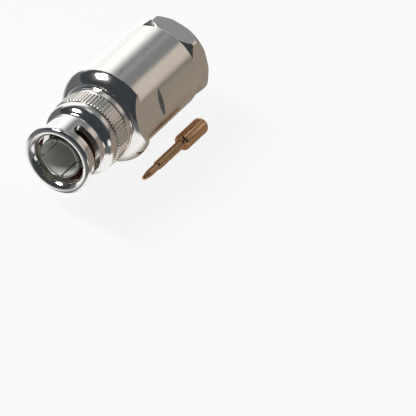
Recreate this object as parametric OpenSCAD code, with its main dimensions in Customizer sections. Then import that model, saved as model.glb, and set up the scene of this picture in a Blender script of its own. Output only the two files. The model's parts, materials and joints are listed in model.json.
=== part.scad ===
// Bayonet coaxial plug for a thick cable, with a clamp nut and a loose centre contact.
// The plug lies at rest on its flange rim and on one flat of its clamp nut.
// Inside each piece, z runs along the plug's axis from the front rim (z = 0) to the rear.

/* [Coupling nut] */
// Diameter of the bead round the front rim
rim_d = 13.6; // [13:0.1:14.4]
// Length of the bead round the front rim
rim_len = 1.3; // [1:0.1:1.6]
// Diameter of the neck that carries the bayonet slots
neck_d = 12.2; // [12:0.1:12.8]
// Length of the neck, from the front rim to where the bell begins
neck_len = 6.1; // [5.6:0.1:6.4]
// Diameter of the bell where it meets the ribbed grip
bell_d = 14.3; // [13.8:0.1:14.5]
// Diameter over the ribs of the grip
grip_d = 14.7; // [14.6:0.1:15.4]
// Length of the ribbed grip
grip_len = 3.4; // [2.6:0.1:3.6]
// Number of ribs round the grip
rib_count = 68; // [48:4:80]
// Depth of the grooves between the ribs
rib_depth = 0.22; // [0.12:0.02:0.3]
// Bore that slides over the mating socket
entry_bore_d = 9.8; // [9.7:0.05:10]
// Diameter of the flared mouth at the front rim
mouth_d = 11.6; // [11.2:0.1:12]
// Depth of the flared mouth
mouth_len = 1.1; // [0.8:0.1:1.4]
// Diameter across the floors of the two lug grooves
lug_groove_d = 11.3; // [11.2:0.1:11.5]
// Width of the lug grooves and of the bayonet slots
lug_slot_w = 2.2; // [2:0.1:2.4]
// Place of the slots' centre line where it leaves the lug groove
slot_start = 3.8; // [3.4:0.1:4]
// How far each slot climbs towards the rear
slot_rise = 0.7; // [0.5:0.1:0.8]
// Angle that each slot turns through
slot_turn = 90; // [80:5:95]
// How far the detent at the slot's end steps back towards the front
detent_step = 0.35; // [0.2:0.05:0.5]
// Thickness of the inner lip at the rear of the nut
lip_len = 1.75; // [1.4:0.05:2]

/* [Spring pack] */
// Width of the snap ring along the axis
snap_len = 0.8; // [0.6:0.05:1]
// Radial width of the snap ring
snap_w = 0.85; // [0.75:0.05:0.9]
// Free height of the wave washer
wave_h = 1.15; // [1.1:0.05:1.3]
// Thickness of the wave washer's strip
wave_t = 0.25; // [0.2:0.05:0.3]
// Number of waves round the wave washer
wave_count = 3; // [3:1:4]
// Thickness of the flat washer
flat_washer_t = 0.5; // [0.4:0.05:0.6]

/* [Front interface] */
// How far the coupling nut's rim stands ahead of the hub's face
nut_reach = 7.5; // [7.3:0.1:7.8]
// How far the outer contact stands ahead of the hub's face
contact_reach = 6.4; // [5.8:0.1:6.6]
// Width of the ring-shaped space that takes the mating socket's barrel
socket_gap = 0.85; // [0.8:0.01:0.9]
// Wall of the outer contact's fingers
finger_wall = 0.55; // [0.5:0.05:0.65]
// Number of slots between the outer contact's fingers
finger_slots = 4; // [4:1:8]
// Width of the slots between the fingers
finger_slot_w = 0.35; // [0.25:0.05:0.5]
// Length of the slots between the fingers
finger_slot_len = 5; // [4:0.2:5.2]
// Outer diameter of the outer contact's tail, inside the hub
tail_d = 8.4; // [8.3:0.05:8.5]
// Length of the outer contact's tail, inside the hub
tail_len = 7.9; // [7:0.1:9]
// Thickness of the sealing gasket on the hub's face
face_gasket_t = 1.1; // [0.8:0.1:1.3]
// Diameter of the insulator's seat in the tail
insulator_d = 7.35; // [7.3:0.05:7.4]
// Length of the insulator
insulator_len = 5.6; // [4:0.2:6]

/* [Body] */
// Diameter of the hub that carries the coupling nut
hub_d = 10.6; // [10.4:0.1:10.8]
// Diameter of the collar behind the coupling nut
collar_d = 14; // [13.4:0.1:14.4]
// Length of the collar
collar_len = 1; // [0.6:0.1:1.4]
// Length of the dome between the collar and the flange rim
dome_len = 2.8; // [2.2:0.1:3.4]
// Diameter of the flange
flange_d = 19; // [18.6:0.1:20]
// Thickness of the flange's rim
flange_rim = 0.35; // [0.3:0.05:0.8]
// Diameter of the long barrel
barrel_d = 17.3; // [17:0.1:17.8]
// Length of the barrel, behind the flange
barrel_len = 18; // [17:0.5:22]
// Distance across the two wrench flats
flats_w = 16.2; // [16:0.1:16.6]
// Length of the wrench flats along the barrel, behind the flange
flats_len = 6.1; // [4.5:0.1:6.4]
// Bore that the cable's insulation passes through
core_bore_d = 7.4; // [7.3:0.05:7.6]
// Bore of the chamber that holds the braid clamp
clamp_bore_d = 14.2; // [13.8:0.1:14.4]
// Bore of the threaded mouth at the rear
thread_d = 15.5; // [15.2:0.1:15.7]

/* [Cable clamp] */
// Length of the braid clamp
braid_clamp_len = 5.2; // [4.6:0.1:5.6]
// Thickness of the sealing gasket round the cable
cable_gasket_len = 4; // [3.6:0.1:4.4]
// Thickness of the slip washer
slip_washer_t = 0.8; // [0.6:0.1:1]
// Bore that the cable's jacket passes through
cable_bore_d = 10.6; // [10.4:0.1:11]
// Length of the clamp nut's threaded stem
stem_len = 5.5; // [4.5:0.1:5.8]
// Distance across the flats of the clamp nut's hexagon
hex_af = 16; // [15.8:0.1:16.6]
// Diameter that the hexagon's corners are turned down to
hex_corner_d = 18.2; // [17.8:0.1:18.4]
// Length of the clamp nut's hexagon
hex_len = 4.1; // [3.4:0.1:4.6]
// Length of the cone that bevels the hexagon's front corners
hex_front_cone = 1; // [0.5:0.1:1.2]
// Length of the cone that bevels the hexagon's rear corners
hex_rear_cone = 1.4; // [0.8:0.1:1.6]

/* [Centre contact] */
// Diameter of the solder cup
cup_d = 3.2; // [3:0.1:3.4]
// Length of the solder cup
cup_len = 7; // [6:0.2:8]
// Bore of the solder cup
cup_bore_d = 2.4; // [2.3:0.05:2.5]
// Depth of the solder cup's bore
cup_bore_len = 5; // [4:0.2:5.6]
// Diameter of the shaft between the cup and the tip
shaft_d = 1.7; // [1.5:0.05:1.9]
// Length of the shaft
shaft_len = 7.8; // [7:0.1:8.4]
// Diameter of the mating tip
tip_d = 1.35; // [1.2:0.05:1.4]
// Length of the mating tip
tip_len = 4.6; // [4.2:0.1:5]
// Distance from the plug's axis to where the loose contact lies
contact_aside = 11.5; // [11:0.1:14]
// Distance of the loose contact's cup end behind the front rim
contact_end = 35.3; // [32:0.5:37]
// Angle between the loose contact and the plug, seen from above
contact_turn = 1.8; // [0:0.2:3]

/* [Hidden] */
$fn = 96;

// Clearances
running = 0.05;      // radial, a piece that turns or slides on another
seat = 0.02;         // radial, a piece held still in its bore
loose = 0.2;         // radial, a piece that never touches the wall round it
face = 0.05;         // along the axis, between stacked faces
nut_gap = 0.3;       // between the coupling nut and the collar
hex_gap = 0.2;       // between the barrel's end and the tightened hexagon
pocket_extra = 0.2;  // on the slot's width, where a slot begins and ends
edge = 0.2;          // small chamfer on turned edges
finger_waist = 0.15; // on the fingers' radius, behind their tips
arc_steps = 6;       // straight steps in a rounded stretch of an outline

// Places along the axis
hub_front = nut_reach;
contact_tip = hub_front - contact_reach;
chamber_front = hub_front - 0.5;
snap_at = hub_front + 1.25;
wave_at = snap_at + snap_len + face;
flat_washer_at = wave_at + wave_h + face;
lip_at = flat_washer_at + flat_washer_t + face;
nut_len = lip_at + lip_len;
grip_at = nut_len - grip_len;
collar_at = nut_len + nut_gap;
dome_at = collar_at + collar_len;
flange_front = dome_at + dome_len;
flange_back = flange_front + flange_rim;
barrel_end = flange_back + barrel_len;
hex_at = barrel_end + hex_gap;
rear_end = hex_at + hex_len;
stem_at = hex_at - hex_gap - stem_len;
slip_washer_at = stem_at - face - slip_washer_t;
cable_gasket_at = slip_washer_at - face - cable_gasket_len;
braid_clamp_at = cable_gasket_at - face - braid_clamp_len;
clamp_seat = braid_clamp_at - face;
thread_at = slip_washer_at - 1.5;
tail_end = hub_front + tail_len;
insulator_at = tail_end - insulator_len;

// Radii and diameters that follow from the fits
finger_d = entry_bore_d - 2 * socket_gap;
contact_bore_d = finger_d - 2 * finger_wall;
hub_r = hub_d / 2;
chamber_r = hub_r + snap_w - 0.4 + loose;
snap_groove_r = hub_r - 0.45;
snap_outer_r = chamber_r - loose;
spring_inner_r = hub_r + loose / 2;
spring_outer_r = chamber_r - loose / 2;
stem_r = thread_d / 2 - running;
gland_r = clamp_bore_d / 2 - loose / 2;
gland_bore_r = cable_bore_d / 2 + loose;
cone_r = core_bore_d / 2 + 0.4;

// Angles round the axis, from the side that faces the ground
flats_angle = 60;    // of the wrench flats
groove_angle = 11;   // of the first lug groove
finger_angle = 66;   // of the first slot between the fingers

// The plug's lie: the flange rim and a hexagon flat share the ground
tilt = atan((flange_d / 2 - hex_af / 2) / (rear_end - flange_back));
ground = -flange_d / 2 * cos(tilt) - (flange_back - hub_front) * sin(tilt);

// Turns a piece's own axis into the lying pose, with the hub's face centre at the origin
module lying() rotate([0, 90 + tilt, 0]) translate([0, 0, -hub_front]) children();

// Points of an arc from p to q that bows out by h to the right of the way from p to q
function bow(p, q, h, n = arc_steps) =
    let (chord = norm(q - p), r = (chord * chord / 4 + h * h) / (2 * abs(h)), s = sign(h),
         along = (q - p) / chord, side = [along[1], -along[0]] * s,
         centre = (p + q) / 2 + side * (abs(h) - r), half = asin(chord / 2 / r))
    [for (i = [0:n]) let (a = -half + 2 * half * i / n) centre + r * (side * cos(a) + along * sin(a))];

// Points of a quarter-round from p to q, bowing right for s = 1 and left for s = -1
function quarter(p, q, s = 1) = bow(p, q, s * norm(q - p) * (1 - cos(45)) / (2 * sin(45)));

// A turned piece from its half outline of [radius, z] points
module turned(outline) rotate_extrude() polygon(outline);

// A plain turned ring
module ring(inner_r, outer_r, from, len)
    turned([[inner_r, from], [outer_r, from], [outer_r, from + len], [inner_r, from + len]]);

// Corners of a strip's cross-section at angle a
function station(a, r0, r1, z, h) =
    [for (c = [[r0, -h], [r1, -h], [r1, h], [r0, h]]) [c[0] * cos(a), c[0] * sin(a), z + c[1] / 2]];

// A strip swept through its stations and closed into a ring
module strip(stations) {
    n = len(stations);
    polyhedron([for (s = stations, p = s) p],
        [for (i = [0:n - 1], k = [0:3]) let (j = (i + 1) % n, m = (k + 1) % 4)
            [4 * i + k, 4 * i + m, 4 * j + m, 4 * j + k]]);
}

// Outline of the ribbed grip, seen along the axis
function rib_outline(r, depth, count) =
    let (pitch = 360 / count)
    [for (i = [0:count - 1], c = [[0, r], [0.4, r], [0.6, r - depth], [0.8, r - depth]])
        c[1] * [cos((i + c[0]) * pitch), sin((i + c[0]) * pitch)]];

// One bayonet slot: a sector tilted so that it climbs from its lug groove to its detent
module bayonet_slot() {
    inner = entry_bore_d / 2 - 1;
    depth = neck_d / 2 + 1 - inner;
    half = slot_turn / 2;
    rotate([0, 0, half]) translate([0, 0, slot_start + slot_rise / 2])
        rotate([asin(slot_rise / (neck_d * sin(half))), 0, 0]) rotate([0, 0, -half]) {
            rotate_extrude(angle = slot_turn) translate([inner, -lug_slot_w / 2])
                square([depth, lug_slot_w]);
            for (end = [[0, 0], [slot_turn, -detent_step]])
                rotate([0, 0, end[0]]) translate([inner, 0, end[1]]) rotate([0, 90, 0])
                    cylinder(d = lug_slot_w + pocket_extra, h = depth);
        }
}

// The groove that lets a lug in from the front rim
module lug_groove() intersection() {
    translate([0, 0, -1]) cylinder(d = lug_groove_d, h = slot_start + 1);
    translate([0, -lug_slot_w / 2, -1]) cube([lug_groove_d, lug_slot_w, slot_start + 1]);
}

module coupling_nut() color([0.80, 0.80, 0.80]) lying() difference() {
    rim_r = rim_d / 2;
    neck_r = neck_d / 2;
    bell_r = bell_d / 2;
    grip_r = grip_d / 2;
    bore_r = entry_bore_d / 2;
    bead = rim_len * 0.4;
    dip = [neck_r + 0.35, neck_len + 0.85];
    intersection() {
        turned(concat(
            quarter([rim_r - bead, 0], [rim_r, bead]),
            quarter([rim_r, rim_len - bead / 2], [rim_r - bead / 2, rim_len]),
            quarter([neck_r + edge, rim_len], [neck_r, rim_len + edge], -1),
            bow([neck_r, neck_len], dip, -0.13),
            bow(dip, [bell_r, grip_at - 0.6], 0.3),
            [[bell_r, grip_at - 0.35], [bell_r - edge, grip_at - 0.3], [bell_r - edge, grip_at],
             [grip_r - edge, grip_at], [grip_r, grip_at + edge], [grip_r, nut_len - edge],
             [grip_r - edge, nut_len], [hub_r + running, nut_len], [hub_r + running, lip_at],
             [chamber_r, lip_at], [chamber_r, chamber_front], [bore_r, chamber_front]],
            bow([bore_r, mouth_len], [mouth_d / 2, 0], 0.15)));
        union() {
            translate([0, 0, -1]) cylinder(d = grip_d + 2, h = grip_at + edge + 1);
            translate([0, 0, grip_at + edge / 2]) linear_extrude(nut_len)
                polygon(rib_outline(grip_r, rib_depth, rib_count));
        }
    }
    for (side = [0, 180]) rotate([0, 0, groove_angle + side]) {
        lug_groove();
        bayonet_slot();
    }
}

module snap_ring() color([0.70, 0.70, 0.70]) lying() difference() {
    ring(snap_groove_r + seat, snap_outer_r, snap_at, snap_len);
    translate([0, -1, snap_at - 1]) cube([chamber_r + 1, 2, snap_len + 2]);
}

module wave_washer() color([0.62, 0.63, 0.65]) lying() {
    steps = 72;
    middle = wave_at + wave_h / 2;
    swing = (wave_h - wave_t) / 2;
    strip([for (i = [0:steps - 1]) let (a = 360 * i / steps)
        station(a, spring_inner_r, spring_outer_r, middle + swing * cos(wave_count * a), wave_t)]);
}

module flat_washer() color([0.75, 0.75, 0.75]) lying()
    ring(hub_r + running, spring_outer_r, flat_washer_at, flat_washer_t);

module outer_contact() color([0.78, 0.77, 0.74]) lying() difference() {
    bore_r = contact_bore_d / 2;
    finger_r = finger_d / 2;
    waist_r = finger_r - finger_waist;
    turned(concat(
        quarter([finger_r - edge, contact_tip], [finger_r, contact_tip + edge]),
        [[finger_r, contact_tip + 0.8], [waist_r, contact_tip + 1.4], [waist_r, hub_front],
         [tail_d / 2 - edge, hub_front], [tail_d / 2, hub_front + edge], [tail_d / 2, tail_end],
         [insulator_d / 2, tail_end], [insulator_d / 2, insulator_at - seat],
         [bore_r, insulator_at - seat], [bore_r, contact_tip + edge], [bore_r + edge, contact_tip]]));
    for (i = [0:finger_slots - 1]) rotate([0, 0, finger_angle + i * 360 / finger_slots])
        translate([bore_r - 1, -finger_slot_w / 2, contact_tip - 1])
            cube([tail_d, finger_slot_w, finger_slot_len + 1]);
}

module face_gasket() color([0.55, 0.25, 0.20]) lying()
    ring(finger_d / 2 - finger_waist + seat, entry_bore_d / 2 - loose / 2, hub_front - face_gasket_t,
        face_gasket_t);

module insulator() color([0.95, 0.95, 0.93]) lying() {
    outer_r = insulator_d / 2 - seat;
    turned([[shaft_d / 2 + seat, insulator_at], [outer_r - edge, insulator_at],
        [outer_r, insulator_at + edge], [outer_r, tail_end], [shaft_d / 2 + seat, tail_end]]);
}

module body() color([0.80, 0.80, 0.80]) lying() difference() {
    collar_r = collar_d / 2;
    flange_r = flange_d / 2;
    barrel_r = barrel_d / 2;
    tail_r = tail_d / 2 + seat;
    fillet = [collar_r + 0.6, dome_at + 0.6];
    turned(concat(
        [[tail_r, hub_front], [hub_r - edge, hub_front], [hub_r, hub_front + edge],
         [hub_r, snap_at - seat], [snap_groove_r, snap_at - seat],
         [snap_groove_r, snap_at + snap_len + seat], [hub_r, snap_at + snap_len + seat],
         [hub_r, collar_at], [collar_r - edge, collar_at], [collar_r, collar_at + edge]],
        quarter([collar_r, dome_at], fillet, -1),
        bow(fillet, [flange_r, flange_front], 0.22),
        [[flange_r, flange_back], [barrel_r + edge, flange_back], [barrel_r, flange_back + edge],
         [barrel_r, barrel_end - edge], [barrel_r - edge, barrel_end],
         [thread_d / 2 + edge, barrel_end], [thread_d / 2, barrel_end - edge],
         [thread_d / 2, thread_at], [clamp_bore_d / 2, thread_at - 0.4],
         [clamp_bore_d / 2, clamp_seat], [cone_r + edge, clamp_seat],
         [core_bore_d / 2, clamp_seat - edge], [core_bore_d / 2, tail_end + seat],
         [tail_r, tail_end + seat]]));
    for (side = [0, 180]) rotate([0, 0, flats_angle + side])
        translate([flats_w / 2, -flange_r, collar_at]) cube([flange_r, flange_d,
            flange_back + flats_len - collar_at]);
}

module braid_clamp() color([0.72, 0.70, 0.62]) lying() {
    skirt_at = braid_clamp_at + braid_clamp_len * 0.4;
    turned([[core_bore_d / 2, braid_clamp_at + face], [cone_r + edge, braid_clamp_at],
        [gland_r - 1.6, braid_clamp_at + 0.9], [gland_r, braid_clamp_at + 0.9],
        [gland_r, braid_clamp_at + braid_clamp_len - 1],
        [gland_r - 1, braid_clamp_at + braid_clamp_len],
        [gland_bore_r, braid_clamp_at + braid_clamp_len], [gland_bore_r, skirt_at],
        [core_bore_d / 2, skirt_at]]);
}

module cable_gasket() color([0.18, 0.18, 0.18]) lying() {
    end = cable_gasket_at + cable_gasket_len;
    turned([[gland_bore_r, cable_gasket_at], [gland_r - 1, cable_gasket_at],
        [gland_r - 0.6, cable_gasket_at + 0.4], [gland_r, cable_gasket_at + 0.4], [gland_r, end],
        [(gland_r + gland_bore_r) / 2, end - 0.6], [gland_bore_r, end]]);
}

module slip_washer() color([0.75, 0.75, 0.75]) lying()
    ring(gland_bore_r, gland_r, slip_washer_at, slip_washer_t);

module clamp_nut() color([0.80, 0.80, 0.80]) lying() difference() {
    corner_r = hex_corner_d / 2;
    crown_r = hex_af / 2 + 0.15;
    intersection() {
        union() {
            translate([0, 0, hex_at]) rotate([0, 0, 30])
                cylinder(r = hex_af / 2 / cos(30), h = hex_len, $fn = 6);
            translate([0, 0, stem_at]) cylinder(r = stem_r, h = hex_at - stem_at + 1);
        }
        turned([[0, stem_at], [stem_r - 2 * edge, stem_at], [stem_r, stem_at + 2 * edge],
            [stem_r, hex_at - hex_gap], [crown_r, hex_at], [corner_r, hex_at + hex_front_cone],
            [corner_r, rear_end - hex_rear_cone], [crown_r, rear_end], [0, rear_end]]);
    }
    turned([[0, stem_at - 1], [cable_bore_d / 2, stem_at - 1], [cable_bore_d / 2, rear_end - 0.5],
        [cable_bore_d / 2 + 0.5, rear_end], [cable_bore_d / 2 + 0.5, rear_end + 1], [0, rear_end + 1]]);
}

// Its own z runs from the tip to the solder cup
module centre_contact() color([0.72, 0.55, 0.35])
    translate([contact_end - hub_front, -contact_aside, ground + cup_d / 2])
    rotate([0, 90, -contact_turn]) difference() {
        tip_r = tip_d / 2;
        shaft_r = shaft_d / 2;
        cup_r = cup_d / 2;
        shaft_at = -cup_len - shaft_len;
        point = shaft_at - tip_len;
        turned(concat(
            quarter([0, point], [tip_r * 0.65, point + 0.45]),
            [[tip_r * 0.8, point + 1.1], [tip_r, point + 1.9], [tip_r, shaft_at - 0.25],
             [shaft_r - 0.1, shaft_at], [shaft_r, shaft_at + 0.15], [shaft_r, -cup_len]],
            quarter([cup_r - 0.6, -cup_len], [cup_r, -cup_len + 0.6]),
            [[cup_r, -0.5], [cup_r - 0.35, 0], [0, 0]]));
        translate([0, 0, -cup_bore_len]) cylinder(d = cup_bore_d, h = cup_bore_len + 1);
    }

coupling_nut();
snap_ring();
wave_washer();
flat_washer();
outer_contact();
face_gasket();
insulator();
body();
braid_clamp();
cable_gasket();
slip_washer();
clamp_nut();
centre_contact();
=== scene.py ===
import json
import math
import bmesh
import bpy
import numpy as np
from mathutils import Matrix, Vector, kdtree


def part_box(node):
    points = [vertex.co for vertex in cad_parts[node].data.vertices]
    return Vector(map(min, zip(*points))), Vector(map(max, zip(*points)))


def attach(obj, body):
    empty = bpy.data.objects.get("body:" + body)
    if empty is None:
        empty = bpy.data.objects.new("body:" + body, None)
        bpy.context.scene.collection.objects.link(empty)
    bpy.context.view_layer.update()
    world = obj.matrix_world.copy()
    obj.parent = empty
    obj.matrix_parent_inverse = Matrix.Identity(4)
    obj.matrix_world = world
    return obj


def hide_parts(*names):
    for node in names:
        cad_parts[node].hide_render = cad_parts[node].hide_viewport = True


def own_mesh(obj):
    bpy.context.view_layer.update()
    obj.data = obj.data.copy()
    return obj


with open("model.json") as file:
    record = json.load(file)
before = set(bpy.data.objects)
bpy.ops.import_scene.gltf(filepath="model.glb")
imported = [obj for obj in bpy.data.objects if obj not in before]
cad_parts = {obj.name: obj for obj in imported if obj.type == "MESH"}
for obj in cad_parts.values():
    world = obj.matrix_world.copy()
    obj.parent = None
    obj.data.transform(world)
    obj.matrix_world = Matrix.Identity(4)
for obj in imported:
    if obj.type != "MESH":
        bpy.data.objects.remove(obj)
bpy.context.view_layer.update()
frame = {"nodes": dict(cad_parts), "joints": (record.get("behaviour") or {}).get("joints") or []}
print("frame loaded:", len(frame["nodes"]), "nodes")

mm = 0.001
hubFace = 7.5        # the origin lies this far behind the front rim, on the plug's axis
rear = Vector(next(j["axis"] for j in frame["joints"] if j["name"] == "nut_turn")).normalized()
down = Vector((rear.z, 0, -rear.x))      # across the axis, towards the floor
side = Vector((0, 1, 0))
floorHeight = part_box("body")[0].z
edgeAngle, edgeReach = 18, 0.12      # what counts as an edge, in degrees, and how far its wear reaches

# turns a piece's own millimetres, z from the front rim, into the frame
layDown = Matrix((
    (down.x * mm, side.x * mm, rear.x * mm, -rear.x * hubFace * mm),
    (down.y * mm, side.y * mm, rear.y * mm, -rear.y * hubFace * mm),
    (down.z * mm, side.z * mm, rear.z * mm, -rear.z * hubFace * mm),
    (0, 0, 0, 1)))


# outlines are lists of (radius, place along the axis)

def bulge(p, q, height, steps=8):
    # an arc from p to q that rises by height at its middle
    p, q = Vector(p), Vector(q)
    chord = (q - p).length
    radius = (chord * chord / 4 + height * height) / (2 * abs(height))
    sign = 1 if height > 0 else -1
    along = (q - p) / chord
    out = Vector((along.y, -along.x)) * sign
    centre = (p + q) / 2 + out * (abs(height) - radius)
    half = math.asin(min(1, chord / 2 / radius))
    points = []
    for i in range(steps + 1):
        a = -half + 2 * half * i / steps
        point = centre + radius * (out * math.cos(a) + along * math.sin(a))
        points.append((point.x, point.y))
    return points


def quarterRound(p, q, turn=1, steps=6):
    # a quarter of a circle from p to q
    chord, eighth = (Vector(q) - Vector(p)).length, math.radians(45)
    return bulge(p, q, turn * chord * (1 - math.cos(eighth)) / (2 * math.sin(eighth)), steps)


def softened(corners, steps=3):
    # a corner given as (radius, place, rounding) becomes a small round
    points = []
    for i, corner in enumerate(corners):
        if len(corner) == 2 or corner[2] == 0:
            points.append(tuple(corner[:2]))
            continue
        here = Vector(corner[:2])
        before = Vector(corners[i - 1][:2]) - here
        after = Vector(corners[(i + 1) % len(corners)][:2]) - here
        cut = min(corner[2], before.length * 0.45, after.length * 0.45)
        start, end = here + before.normalized() * cut, here + after.normalized() * cut
        for k in range(steps + 1):
            t = k / steps
            q = start * (1 - t) ** 2 + here * 2 * t * (1 - t) + end * t * t
            points.append((q.x, q.y))
    return points


def newPiece(name, vertices, faces):
    mesh = bpy.data.meshes.new(name)
    mesh.from_pydata([tuple(v) for v in vertices], [], faces)
    shell = bmesh.new()
    shell.from_mesh(mesh)
    bmesh.ops.recalc_face_normals(shell, faces=shell.faces)
    shell.to_mesh(mesh)
    shell.free()
    mesh.update()
    piece = bpy.data.objects.new(name, mesh)
    bpy.context.scene.collection.objects.link(piece)
    return piece


def turnedPiece(name, outline, steps=256, shape=None, closed=True):
    # sweeps a half outline round the axis; shape(radius, place, angles) gives the swept radii
    angles = np.arange(steps) * 2 * math.pi / steps
    rings = []
    for radius, place in outline:
        radii = np.full(steps, radius) if shape is None else shape(radius, place, angles)
        rings.append(np.stack([radii * np.cos(angles), radii * np.sin(angles), np.full(steps, place)], 1))
    count = len(rings)
    faces = []
    for i in range(count if closed else count - 1):
        a, b = i * steps, ((i + 1) % count) * steps
        for k in range(steps):
            m = (k + 1) % steps
            faces.append((a + k, a + m, b + m, b + k))
    return newPiece(name, np.concatenate(rings), faces)


def cutBy(piece, tools):
    # cuts the piece with each tool in turn, and removes the tools
    for tool in tools:
        cut = piece.modifiers.new("cut", "BOOLEAN")
        cut.operation, cut.solver, cut.object = "DIFFERENCE", "EXACT", tool
        result = bpy.data.meshes.new_from_object(
            piece.evaluated_get(bpy.context.evaluated_depsgraph_get()))
        piece.modifiers.clear()
        old, piece.data = piece.data, result
        bpy.data.meshes.remove(old)
        bpy.data.objects.remove(tool)


def gridBox(name, low, high, cell, angle):
    # a box of small cells, so that its cut faces carry the edge mask, turned about the axis
    counts = [max(1, round((high[i] - low[i]) / cell)) for i in range(3)]
    vertices, faces, found = [], [], {}

    def corner(i, j, k):
        key = (i, j, k)
        if key not in found:
            found[key] = len(vertices)
            p = [low[n] + (high[n] - low[n]) * key[n] / counts[n] for n in range(3)]
            c, s = math.cos(angle), math.sin(angle)
            vertices.append((p[0] * c - p[1] * s, p[0] * s + p[1] * c, p[2]))
        return found[key]

    for axis in range(3):
        u, v = (axis + 1) % 3, (axis + 2) % 3
        for end in (0, counts[axis]):
            for a in range(counts[u]):
                for b in range(counts[v]):
                    quad = []
                    for da, db in ((0, 0), (1, 0), (1, 1), (0, 1)):
                        key = [0, 0, 0]
                        key[axis], key[u], key[v] = end, a + da, b + db
                        quad.append(corner(*key))
                    faces.append(tuple(quad if end else quad[::-1]))
    return newPiece(name, vertices, faces)


def dressed(piece, material, body, node, sharpAngle=40):
    # lays a finished piece in the frame: edge mask, normals, finish, body and CAD node
    mesh = piece.data
    mesh.transform(layDown)
    mesh.update()
    count = len(mesh.vertices)
    coordinates = np.zeros(count * 3)
    mesh.vertices.foreach_get("co", coordinates)
    coordinates = coordinates.reshape(-1, 3)
    edgeFaces = {}
    normals = np.zeros(len(mesh.polygons) * 3)
    mesh.polygons.foreach_get("normal", normals)
    normals = normals.reshape(-1, 3)
    for polygon in mesh.polygons:
        for key in polygon.edge_keys:
            edgeFaces.setdefault(key, []).append(polygon.index)
    limit = math.cos(math.radians(edgeAngle))
    onEdge = set()
    for key, pair in edgeFaces.items():
        if len(pair) == 2 and normals[pair[0]] @ normals[pair[1]] < limit:
            onEdge.update(key)
    tree = kdtree.KDTree(max(1, len(onEdge)))
    for i, v in enumerate(onEdge):
        tree.insert(coordinates[v], i)
    tree.balance()
    near = np.zeros(count)
    if onEdge:
        for v in range(count):
            near[v] = math.exp(-tree.find(coordinates[v])[2] / (edgeReach * mm))
    attribute = mesh.attributes.new("edgeNear", "FLOAT", "POINT")
    attribute.data.foreach_set("value", near.astype(np.float32))
    mesh.shade_smooth()
    mesh.set_sharp_from_angle(angle=math.radians(sharpAngle))
    weighted = piece.modifiers.new("normals", "WEIGHTED_NORMAL")
    weighted.keep_sharp, weighted.weight = True, 80
    mesh.materials.clear()
    mesh.materials.append(material)
    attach(piece, body)
    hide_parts(node)
    print(piece.name, len(mesh.vertices), "vertices,", len(mesh.polygons), "faces")
    return piece


# inputs may be plain values or the outputs of other nodes
def addNode(tree, kind, inputs=None, **settings):
    node = tree.nodes.new(kind)
    for key, value in settings.items():
        setattr(node, key, value)
    for key, value in (inputs or {}).items():
        if isinstance(value, bpy.types.NodeSocket):
            tree.links.new(value, node.inputs[key])
        else:
            node.inputs[key].default_value = value
    return node


def sums(tree, operation, *values):
    node = addNode(tree, "ShaderNodeMath", dict(enumerate(values)), operation=operation)
    return node.outputs[0]


def newGroup(name, inputs, outputs):
    tree = bpy.data.node_groups.new(name, "ShaderNodeTree")
    for label, value in inputs.items():
        socket = tree.interface.new_socket(label, in_out="INPUT", socket_type="NodeSocketFloat")
        socket.default_value = value
    for label, kind in outputs.items():
        tree.interface.new_socket(label, in_out="OUTPUT", socket_type=kind)
    return tree, tree.nodes.new("NodeGroupInput"), tree.nodes.new("NodeGroupOutput")


def turnedPlace(tree):
    # object coordinates in millimetres: place along the axis, distance from it, direction round it
    metres = tree.nodes.new("ShaderNodeTexCoord").outputs["Object"]
    here = addNode(tree, "ShaderNodeVectorMath", {0: metres, "Scale": 1000.0}, operation="SCALE").outputs[0]
    parts = [addNode(tree, "ShaderNodeVectorMath", {0: here, 1: tuple(way)},
                     operation="DOT_PRODUCT").outputs["Value"] for way in (rear, down, side)]
    squared = sums(tree, "ADD", sums(tree, "MULTIPLY", parts[1], parts[1]),
                   sums(tree, "MULTIPLY", parts[2], parts[2]))
    radius = sums(tree, "SQRT", sums(tree, "ADD", squared, 0.0001))
    ahead, aside = sums(tree, "DIVIDE", parts[1], radius), sums(tree, "DIVIDE", parts[2], radius)
    return here, parts[0], radius, ahead, aside


def makeLatheMarks():
    # fine rings left by turning, with slow changes along each ring
    tree, given, result = newGroup("latheMarks", {"Lines per mm": 6.0, "Unevenness": 0.5},
                                   {"Height": "NodeSocketFloat", "Mask": "NodeSocketFloat"})
    here, along, radius, ahead, aside = turnedPlace(tree)
    station = sums(tree, "MULTIPLY", sums(tree, "ADD", along, sums(tree, "MULTIPLY", radius, 0.83)),
                   given.outputs["Lines per mm"])
    rings = addNode(tree, "ShaderNodeCombineXYZ", {0: sums(tree, "MULTIPLY", ahead, 0.7),
                                                   1: sums(tree, "MULTIPLY", aside, 0.7), 2: station})
    coarse = addNode(tree, "ShaderNodeTexNoise", {"Vector": rings.outputs[0], "Scale": 1.0, "Detail": 4.0,
                                                  "Roughness": 0.65})
    patches = addNode(tree, "ShaderNodeTexNoise", {"Vector": here, "Scale": 0.6, "Detail": 3.0})
    uneven = addNode(tree, "ShaderNodeMapRange", {
        "Value": patches.outputs[0], "From Min": 0.35, "From Max": 0.65,
        "To Min": sums(tree, "SUBTRACT", 1.0, given.outputs["Unevenness"]), "To Max": 1.0})
    tree.links.new(sums(tree, "MULTIPLY", coarse.outputs[0], uneven.outputs[0]), result.inputs["Height"])
    tree.links.new(coarse.outputs[0], result.inputs["Mask"])
    return tree


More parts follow.
